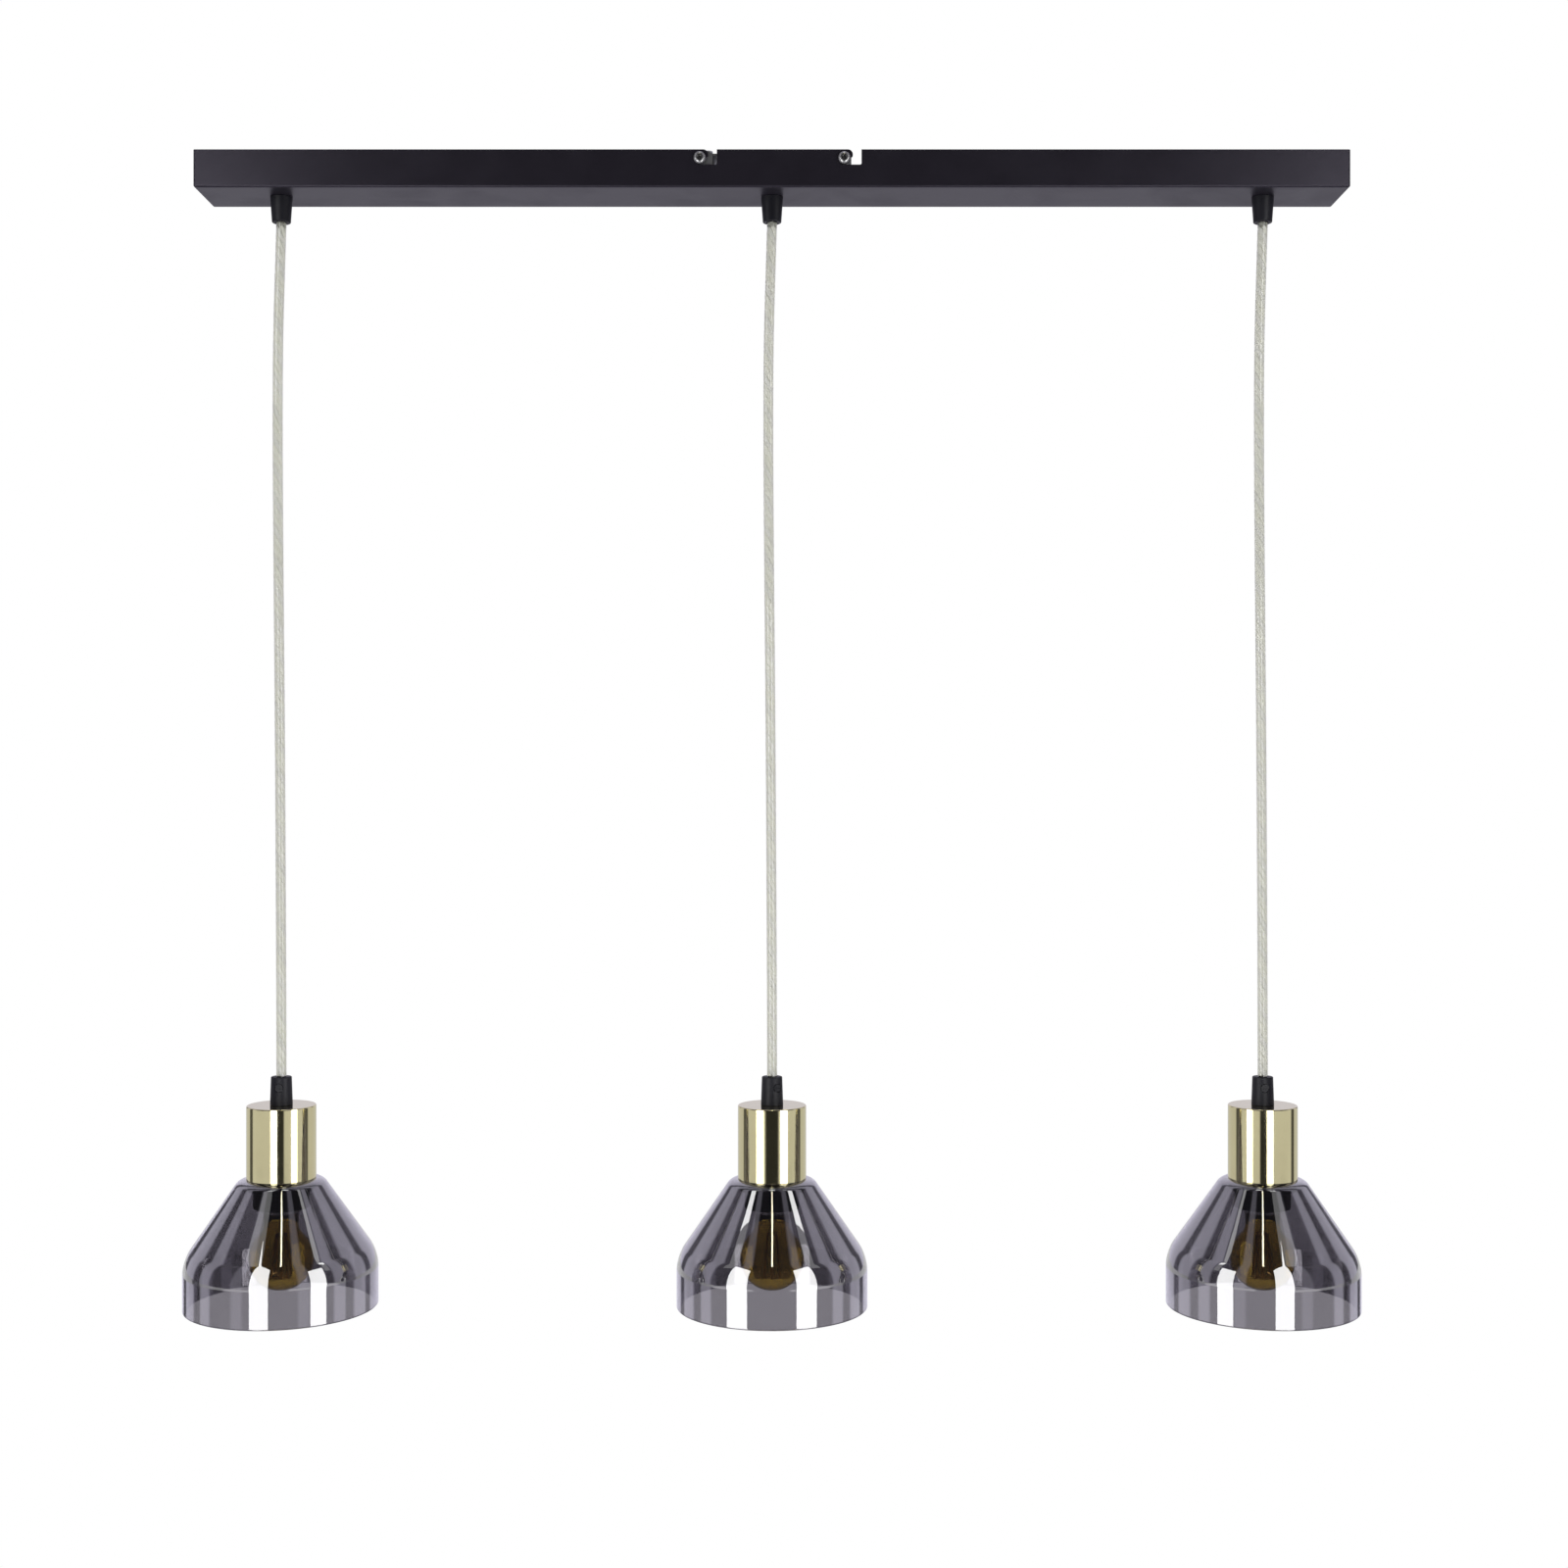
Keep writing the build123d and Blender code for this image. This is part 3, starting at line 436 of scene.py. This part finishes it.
# The recess is two crossed slots and a square well, each as (length, width, turn in degrees).
recess = ((0.0046, 0.0012, 45), (0.0046, 0.0012, 135), (0.0021, 0.0021, 90))
recess_height = 0.003
recess_taper = 0.55
for length, width, turn in recess:
    bpy.ops.mesh.primitive_cube_add(
        size=1, location=(0, 0, head_top), rotation=(0, 0, math.radians(turn))
    )
    cutter = bpy.context.object
    cutter.scale = (length, width, recess_height)
    bpy.ops.object.transform_apply(location=True, rotation=True, scale=True)
    bpy.ops.object.mode_set(mode="EDIT")
    mesh = bmesh.from_edit_mesh(cutter.data)
    for vertex in mesh.verts:
        vertex.select_set(vertex.co.z < head_top)
    mesh.select_flush_mode()
    bmesh.update_edit_mesh(cutter.data)
    bpy.ops.transform.resize(value=(recess_taper, recess_taper, 1), center_override=(0, 0, 0))
    bpy.ops.object.mode_set(mode="OBJECT")
    cutter.select_set(False)
    bpy.context.view_layer.objects.active = screw
    cut = screw.modifiers.new("recess", "BOOLEAN")
    cut.operation = "DIFFERENCE"
    cut.solver = "EXACT"
    cut.object = cutter
    bpy.ops.object.modifier_apply(modifier="recess")
    bpy.data.objects.remove(cutter)
screw_spread = (screw_high.x - screw_low.x) / 2 - head_radius
recess_lean = 12
screws = []
for side_x in (-1, 1):
    for side_y in (-1, 1):
        copy = screw.copy()
        copy.data = screw.data.copy()
        scene.collection.objects.link(copy)
        copy.rotation_euler = (math.radians(-90 * side_y), math.radians(recess_lean * side_x), 0)
        copy.location = (
            screw_middle.x + side_x * screw_spread, side_y * screw_seat, screw_middle.z
        )
        screws.append(copy)
bpy.data.objects.remove(screw)
bpy.ops.object.select_all(action="DESELECT")
for copy in screws:
    copy.select_set(True)
bpy.context.view_layer.objects.active = screws[0]
bpy.ops.object.join()
bracket_screws = finish_piece(bpy.context.object, "domed_bracket_screws")
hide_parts("bracket_screws")
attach(bracket_screws, "bar")

# %% [markdown]
# ## Shared effects
# Several finishes need the same things: the fine grain of moulded plastic or sprayed paint, and
# the faint marks that hands leave on anything polished. Each is a node group with its own inputs,
# built once and placed in the materials with different values.


# %% Node group helpers
def new_group(name, inputs, outputs):
    """An empty shader node group with its sockets and its Object coordinates."""
    group = bpy.data.node_groups.new(name, "ShaderNodeTree")
    for label, value in inputs:
        socket = group.interface.new_socket(label, in_out="INPUT", socket_type="NodeSocketFloat")
        socket.default_value = value
    for label, kind in outputs:
        group.interface.new_socket(label, in_out="OUTPUT", socket_type=kind)
    entry = group.nodes.new("NodeGroupInput")
    leave = group.nodes.new("NodeGroupOutput")
    place = group.nodes.new("ShaderNodeTexCoord")
    return group, entry, leave, place


def add_node(tree, kind, settings=None, **sockets):
    """A node with some of its settings and unlinked sockets set."""
    node = tree.nodes.new(kind)
    for key, value in (settings or {}).items():
        setattr(node, key, value)
    for key, value in sockets.items():
        node.inputs[key.replace("_", " ")].default_value = value
    return node


# %% Fine grain
grain, entry, leave, place = new_group(
    "fine_grain", [("Scale", 900.0), ("Low", 0.0), ("High", 1.0)],
    [("Height", "NodeSocketFloat"), ("Tone", "NodeSocketFloat")],
)
fine = add_node(grain, "ShaderNodeTexNoise", Detail=3.0, Roughness=0.6)
coarse = add_node(grain, "ShaderNodeTexNoise", Scale=35.0, Detail=2.0)
spread = add_node(grain, "ShaderNodeMapRange")
grain.links.new(place.outputs["Object"], fine.inputs["Vector"])
grain.links.new(place.outputs["Object"], coarse.inputs["Vector"])
grain.links.new(entry.outputs["Scale"], fine.inputs["Scale"])
grain.links.new(coarse.outputs["Fac"], spread.inputs["Value"])
grain.links.new(entry.outputs["Low"], spread.inputs["To Min"])
grain.links.new(entry.outputs["High"], spread.inputs["To Max"])
spread.inputs["From Min"].default_value = 0.35
spread.inputs["From Max"].default_value = 0.65
grain.links.new(fine.outputs["Fac"], leave.inputs["Height"])
grain.links.new(spread.outputs["Result"], leave.inputs["Tone"])

# %% Handling marks
marks, entry, leave, place = new_group(
    "handling_marks", [("Clean", 0.05), ("Marked", 0.15), ("Scale", 60.0)],
    [("Roughness", "NodeSocketFloat")],
)
smudge = add_node(marks, "ShaderNodeTexNoise", Detail=4.0, Roughness=0.55, Distortion=0.6)
level = add_node(marks, "ShaderNodeMapRange")
marks.links.new(place.outputs["Object"], smudge.inputs["Vector"])
marks.links.new(entry.outputs["Scale"], smudge.inputs["Scale"])
marks.links.new(smudge.outputs["Fac"], level.inputs["Value"])
level.inputs["From Min"].default_value = 0.48
level.inputs["From Max"].default_value = 0.72
marks.links.new(entry.outputs["Clean"], level.inputs["To Min"])
marks.links.new(entry.outputs["Marked"], level.inputs["To Max"])
marks.links.new(level.outputs["Result"], leave.inputs["Roughness"])

# %% Lathe and polishing rings
rings, entry, leave, place = new_group(
    "turned_rings", [("Rings per metre", 4000.0)], [("Height", "NodeSocketFloat")]
)
split = add_node(rings, "ShaderNodeSeparateXYZ")
scaled = add_node(rings, "ShaderNodeMath", {"operation": "MULTIPLY"})
one_way = {"noise_dimensions": "1D"}
ring_noise = add_node(rings, "ShaderNodeTexNoise", one_way, Scale=1.0, Detail=2.0)
rings.links.new(place.outputs["Object"], split.inputs["Vector"])
rings.links.new(split.outputs["Z"], scaled.inputs[0])
rings.links.new(entry.outputs["Rings per metre"], scaled.inputs[1])
rings.links.new(scaled.outputs["Value"], ring_noise.inputs["W"])
rings.links.new(ring_noise.outputs["Fac"], leave.inputs["Height"])


# %% [markdown]
# ## Materials
# Each finish is one Principled BSDF. Numbers that hold all over a surface sit on the shader's own
# sockets, and only what changes over the surface comes from a group.


# %% A start for each material
def new_material(name):
    """A material, its node tree and its Principled BSDF."""
    material = bpy.data.materials.new(name)
    material.use_nodes = True
    tree = material.node_tree
    return material, tree, tree.nodes["Principled BSDF"]


def place_group(tree, group, **sockets):
    """A node group in a material, with its values."""
    node = tree.nodes.new("ShaderNodeGroup")
    node.node_tree = group
    for key, value in sockets.items():
        node.inputs[key.replace("_", " ")].default_value = value
    return node


def bumped(tree, shader, height, strength, distance):
    """Feeds a height into the shader's normal through a Bump node."""
    bump = add_node(tree, "ShaderNodeBump", Strength=strength, Distance=distance)
    tree.links.new(height, bump.inputs["Height"])
    tree.links.new(bump.outputs["Normal"], shader.inputs["Normal"])


def tinted(tree, shader, mask, dark, light):
    """Mixes two colours by a mask into the base colour."""
    mix = add_node(tree, "ShaderNodeMix", {"data_type": "RGBA"})
    mix.inputs[6].default_value = (*dark, 1)
    mix.inputs[7].default_value = (*light, 1)
    tree.links.new(mask, mix.inputs[0])
    tree.links.new(mix.outputs[2], shader.inputs["Base Color"])


# %% Satin black paint
paint, tree, shader = new_material("satin_black_paint")
texture = place_group(tree, grain, Scale=1400.0)
wiped = place_group(tree, marks, Clean=0.40, Marked=0.46, Scale=18.0)
shader.inputs["Specular IOR Level"].default_value = 0.35
shader.inputs["Specular Tint"].default_value = (0.88, 0.82, 1.0, 1)
tinted(tree, shader, texture.outputs["Tone"], (0.0115, 0.0100, 0.0145), (0.0135, 0.0120, 0.0170))
tree.links.new(wiped.outputs["Roughness"], shader.inputs["Roughness"])
bumped(tree, shader, texture.outputs["Height"], 0.12, 0.0002)

# %% Moulded black plastic
plastic, tree, shader = new_material("moulded_black_plastic")
texture = place_group(tree, grain, Scale=2200.0)
shader.inputs["Specular IOR Level"].default_value = 0.25
wiped = place_group(tree, marks, Clean=0.46, Marked=0.56, Scale=60.0)
tinted(tree, shader, texture.outputs["Tone"], (0.006, 0.006, 0.009), (0.008, 0.008, 0.012))
tree.links.new(wiped.outputs["Roughness"], shader.inputs["Roughness"])
bumped(tree, shader, texture.outputs["Height"], 0.06, 0.00005)

# %% Polished pale gold
gold, tree, shader = new_material("polished_pale_gold")
shader.inputs["Metallic"].default_value = 1.0
texture = place_group(tree, grain, Scale=500.0)
wiped = place_group(tree, marks, Clean=0.09, Marked=0.12, Scale=70.0)
lathe = place_group(tree, rings, Rings_per_metre=350.0)
tinted(tree, shader, texture.outputs["Tone"], (0.68, 0.62, 0.38), (0.71, 0.65, 0.40))
tree.links.new(wiped.outputs["Roughness"], shader.inputs["Roughness"])
bumped(tree, shader, lathe.outputs["Height"], 0.02, 0.00001)

# %% Smoked glass
smoked, tree, shader = new_material("smoked_glass")
shader.inputs["Transmission Weight"].default_value = 1.0
shader.inputs["IOR"].default_value = 1.5
shader.inputs["Coat Weight"].default_value = 1.0
shader.inputs["Coat IOR"].default_value = 2.1
shader.inputs["Coat Roughness"].default_value = 0.0
shader.inputs["Roughness"].default_value = 0.0
texture = place_group(tree, grain, Scale=60.0)
tinted(tree, shader, texture.outputs["Tone"], (0.250, 0.237, 0.268), (0.262, 0.249, 0.280))
bumped(tree, shader, texture.outputs["Height"], 0.01, 0.0002)

# %% Amber bulb glass
amber, tree, shader = new_material("amber_glass")
shader.inputs["Base Color"].default_value = (0.80, 0.61, 0.22, 1)
shader.inputs["Transmission Weight"].default_value = 1.0
shader.inputs["IOR"].default_value = 2.0
shader.inputs["Specular Tint"].default_value = (1.0, 0.62, 0.20, 1)
texture = place_group(tree, grain, Scale=90.0)
wiped = place_group(tree, marks, Clean=0.0, Marked=0.01, Scale=40.0)
tree.links.new(wiped.outputs["Roughness"], shader.inputs["Roughness"])
bumped(tree, shader, texture.outputs["Height"], 0.02, 0.0003)

# %% Clear cord sheath
sheath_clear, tree, shader = new_material("clear_sheath")
# Painted shade: the sheath's colour goes from (1.0, 1.0, 0.98) face-on to a darker (0.92, 0.92,
# 0.89) where the cord is seen edge-on.
edge_on_shade = add_node(tree, "ShaderNodeLayerWeight", Blend=0.5)
tinted(tree, shader, edge_on_shade.outputs["Facing"], (1.0, 1.0, 0.98), (0.92, 0.92, 0.89))
shader.inputs["Transmission Weight"].default_value = 1.0
shader.inputs["IOR"].default_value = 1.5
texture = place_group(tree, grain, Scale=300.0)
wiped = place_group(tree, marks, Clean=0.02, Marked=0.08, Scale=60.0)
tree.links.new(wiped.outputs["Roughness"], shader.inputs["Roughness"])
bumped(tree, shader, texture.outputs["Height"], 0.03, 0.0002)


# %% Plain opaque finishes share one recipe
def opaque(name, dark, light, roughness, metallic=0.0, scale=1200.0, depth=0.0001, strength=0.15):
    """A finish with fine grain, a small change of tone and handling marks."""
    material, tree, shader = new_material(name)
    shader.inputs["Metallic"].default_value = metallic
    texture = place_group(tree, grain, Scale=scale)
    wiped = place_group(tree, marks, Clean=roughness, Marked=roughness + 0.12, Scale=80.0)
    tinted(tree, shader, texture.outputs["Tone"], dark, light)
    tree.links.new(wiped.outputs["Roughness"], shader.inputs["Roughness"])
    bumped(tree, shader, texture.outputs["Height"], strength, depth)
    return material


cream_core = opaque("cream_core", (0.95, 0.95, 0.85), (0.97, 0.97, 0.89), 0.45)
silver_core = opaque("silvery_core", (0.90, 0.90, 0.84), (0.94, 0.94, 0.89), 0.35)
zinc = opaque("bright_zinc", (0.30, 0.30, 0.30), (0.42, 0.42, 0.41), 0.28, metallic=1.0)
galvanised = opaque(
    "galvanised_sheet", (0.50, 0.51, 0.52), (0.66, 0.67, 0.68), 0.38, metallic=1.0, scale=140.0
)
nickel = opaque("nickel_plate", (0.56, 0.54, 0.50), (0.66, 0.64, 0.60), 0.16, metallic=1.0)
brass = opaque("bare_brass", (0.60, 0.45, 0.20), (0.72, 0.57, 0.29), 0.28, metallic=1.0)
natural = opaque("natural_plastic", (0.74, 0.72, 0.66), (0.82, 0.81, 0.75), 0.38)
stick = opaque("coated_sticks", (0.72, 0.44, 0.12), (0.85, 0.58, 0.22), 0.5)
brown_lead = opaque("brown_lead", (0.13, 0.055, 0.02), (0.18, 0.08, 0.03), 0.35)
blue_lead = opaque("blue_lead", (0.02, 0.08, 0.28), (0.03, 0.11, 0.36), 0.35)
green_lead = opaque("green_yellow_lead", (0.16, 0.34, 0.03), (0.26, 0.44, 0.05), 0.35)

# %% [markdown]
# ## Painting the pieces
# A table from the record's material slots to the finishes dresses all the CAD nodes that still
# show, and the new pieces get theirs by name.

# %% Give every piece its finish
finish_of_slot = {
    "satin_black_paint": paint, "galvanised_sheet": galvanised, "zinc_screw": zinc,
    "black_plastic": plastic, "clear_cord": sheath_clear, "pale_gold": gold,
    "smoked_glass": smoked, "amber_glass": amber, "nickel": nickel, "brass": brass,
    "filament": stick, "natural_plastic": natural, "brown_core": brown_lead,
    "blue_core": blue_lead, "green_core": green_lead,
}


def dress(piece, material):
    """Gives a piece one material, whether it came with one or not."""
    if not piece.material_slots:
        piece.data.materials.append(material)
    for holder in piece.material_slots:
        holder.material = material


for row in frame["record"]["subparts"]:
    dress(nodes[row["node"]], finish_of_slot[row["material_slot"]])
for side in sides:
    dress(cord_pieces[side], sheath_clear)
    dress(cups[side], gold)
    dress(shades[side], smoked)
    dress(bulbs[side], amber)
dress(bracket_screws, zinc)
for cores in core_pieces:
    for core, material in zip(cores, (cream_core, silver_core, cream_core)):
        dress(core, material)

# %% [markdown]
# ## Studio
# The photograph is a cut-out on pure white. Two tall lights beside the camera show as white
# strips in the glass and the cups, two more stand higher and make the pale bands on the cones,
# and a slim warm light above the camera draws the thin line down the middle of each shade.


# %% What the camera sees without a reflection
def seen_straight(tree):
    """One for rays from the camera and those on their way through glass, until one is reflected."""
    path = add_node(tree, "ShaderNodeLightPath")
    seen = add_node(tree, "ShaderNodeMath", {"operation": "MAXIMUM"})
    direct = add_node(tree, "ShaderNodeMath", {"operation": "LESS_THAN"})
    both = add_node(tree, "ShaderNodeMath", {"operation": "MULTIPLY"})
    direct.inputs[1].default_value = 0.5
    tree.links.new(path.outputs["Is Camera Ray"], seen.inputs[0])
    tree.links.new(path.outputs["Is Transmission Ray"], seen.inputs[1])
    tree.links.new(path.outputs["Glossy Depth"], direct.inputs[0])
    tree.links.new(seen.outputs["Value"], both.inputs[0])
    tree.links.new(direct.outputs["Value"], both.inputs[1])
    return both.outputs["Value"]


# %% Floor
bpy.ops.object.select_all(action="DESELECT")
bpy.ops.mesh.primitive_circle_add(vertices=96, radius=2.2, fill_type="NGON", location=(0, 0, -1.7))
floor = finish_piece(bpy.context.object, "studio_floor")
pale, tree, shader = new_material("pale_floor")
shader.inputs["Base Color"].default_value = (0.80, 0.80, 0.81, 1)
shader.inputs["Roughness"].default_value = 0.9
white = add_node(tree, "ShaderNodeEmission")
white.inputs["Color"].default_value = (1, 1, 1, 1)
choose = add_node(tree, "ShaderNodeMixShader")
tree.links.new(seen_straight(tree), choose.inputs["Fac"])
tree.links.new(shader.outputs["BSDF"], choose.inputs[1])
tree.links.new(white.outputs["Emission"], choose.inputs[2])
tree.links.new(choose.outputs["Shader"], tree.nodes["Material Output"].inputs["Surface"])
dress(floor, pale)


# %% Tall lights
def tall_light(name, location, size, radiance, aim):
    """A rectangular area light of a given brightness, aimed at a point."""
    bpy.ops.object.light_add(type="AREA", location=location)
    light = bpy.context.object
    light.name = name
    light.data.shape = "RECTANGLE"
    light.data.size, light.data.size_y = size
    light.data.energy = radiance * math.pi * size[0] * size[1]
    direction = Vector(aim) - Vector(location)
    light.rotation_euler = direction.to_track_quat("-Z", "Y").to_euler()
    light.visible_camera = False
    light.visible_transmission = False
    return light


strip_x, strip_y, strip_z = 0.422, -0.5225, -0.725
strip_size = (0.3147, 0.95)
high_x, high_y, high_width = 0.505, -0.295, 0.149
# Each part of a high strip as (lower end, upper end, radiance).
high_parts = ((-0.42, -0.11, 0.6), (-0.11, 0.09, 4.5), (0.20, 1.0, 1.3))
for hand in (-1, 1):
    tall_light(
        f"strip_{hand}", (hand * strip_x, strip_y, strip_z), strip_size, 5.0,
        (hand * (strip_x - 0.906), strip_y + 0.423, strip_z),
    )
    for number, (low_end, high_end, radiance) in enumerate(high_parts):
        height = (low_end + high_end) / 2
        tall_light(
            f"high_strip_{hand}_{number}", (hand * high_x, high_y, height),
            (high_width, high_end - low_end), radiance,
            (hand * (high_x - 0.476), high_y + 0.879, height),
        )
slim = tall_light("slim_light", (0.008, -1.43, 1.52), (0.07, 0.5), 10.0, (0, 0, -0.75))
slim.data.color = (1.0, 0.93, 0.66)
tall_light("ceiling_light", (0, -0.45, 1.4), (0.35, 0.25), 5.0, (0, 0, -0.75))

# %% Soft room
world = bpy.data.worlds.new("studio")
scene.world = world
world.use_nodes = True
tree = world.node_tree
tree.nodes.clear()
out = tree.nodes.new("ShaderNodeOutputWorld")
look = add_node(tree, "ShaderNodeTexCoord")
split = add_node(tree, "ShaderNodeSeparateXYZ")
back = add_node(tree, "ShaderNodeMath", {"operation": "MULTIPLY"})
back.inputs[1].default_value = -1.0
heading = add_node(tree, "ShaderNodeMath", {"operation": "ARCTAN2"})
aside = add_node(tree, "ShaderNodeMath", {"operation": "ABSOLUTE"})
turns = add_node(tree, "ShaderNodeMapRange")
turns.inputs["From Max"].default_value = math.pi
level = add_node(tree, "ShaderNodeMapRange")
level.inputs["From Min"].default_value = -1.0
room = add_node(tree, "ShaderNodeBackground")
white = add_node(tree, "ShaderNodeBackground")
white.inputs["Color"].default_value = (1, 1, 1, 1)
choose = add_node(tree, "ShaderNodeMixShader")
tree.links.new(look.outputs["Generated"], split.inputs["Vector"])
tree.links.new(split.outputs["Y"], back.inputs[0])
tree.links.new(split.outputs["X"], heading.inputs[0])
tree.links.new(back.outputs["Value"], heading.inputs[1])
tree.links.new(heading.outputs["Value"], aside.inputs[0])
tree.links.new(aside.outputs["Value"], turns.inputs["Value"])
tree.links.new(split.outputs["Z"], level.inputs["Value"])
tree.links.new(seen_straight(tree), choose.inputs["Fac"])
tree.links.new(room.outputs["Background"], choose.inputs[1])
tree.links.new(white.outputs["Background"], choose.inputs[2])
tree.links.new(choose.outputs["Shader"], out.inputs["Surface"])


def soft_ramp(stops, value, tint=(1, 1, 1), smooth=True):
    """A ramp of one tint with its stops given as (share, brightness)."""
    ramp = tree.nodes.new("ShaderNodeValToRGB")
    if not smooth:
        ramp.color_ramp.interpolation = "CONSTANT"
    while len(ramp.color_ramp.elements) < len(stops):
        ramp.color_ramp.elements.new(0.5)
    for element, (share, brightness) in zip(ramp.color_ramp.elements, stops):
        element.position = share
        element.color = (*[brightness * part for part in tint], 1)
    tree.links.new(value, ramp.inputs["Fac"])
    return ramp.outputs["Color"]


# The room's brightness by the angle from the camera's side, in degrees to either hand. The cups
# look into the walls, which fill a belt a little below the horizon. All else reflects the panels.
walls = [
    (0, 0.03), (20, 0.03), (24, 0.74), (92, 0.74),
    (96, 0.10), (109, 0.10), (113, 0.68), (180, 0.68),
]
panels = [
    (0, 0.03), (31, 0.03), (35, 0.35), (45, 0.35), (49, 0.03), (76, 0.03), (80, 0.68), (93, 0.68),
    (96, 0.04), (106, 0.04), (111, 0.75), (129, 0.75),
    (133, 0.10), (141, 0.10), (145, 0.75), (180, 0.75),
]
cool = (0.97, 0.94, 1.10)
around = turns.outputs["Result"]
wall_light = soft_ramp([(angle / 180, brightness) for angle, brightness in walls], around)
panel_light = soft_ramp([(angle / 180, brightness) for angle, brightness in panels], around, cool)
belt = soft_ramp([(0, 0), (0.391, 1), (0.455, 0)], level.outputs["Result"], smooth=False)
mix = add_node(tree, "ShaderNodeMix", {"data_type": "RGBA"})
tree.links.new(belt, mix.inputs[0])
tree.links.new(panel_light, mix.inputs[6])
tree.links.new(wall_light, mix.inputs[7])
tree.links.new(mix.outputs[2], room.inputs["Color"])

# %% Picture settings
scene.view_settings.view_transform = "Standard"
scene.view_settings.look = "None"
scene.cycles.max_bounces = 24
scene.cycles.transmission_bounces = 24
scene.cycles.glossy_bounces = 6
scene.cycles.use_denoising = True
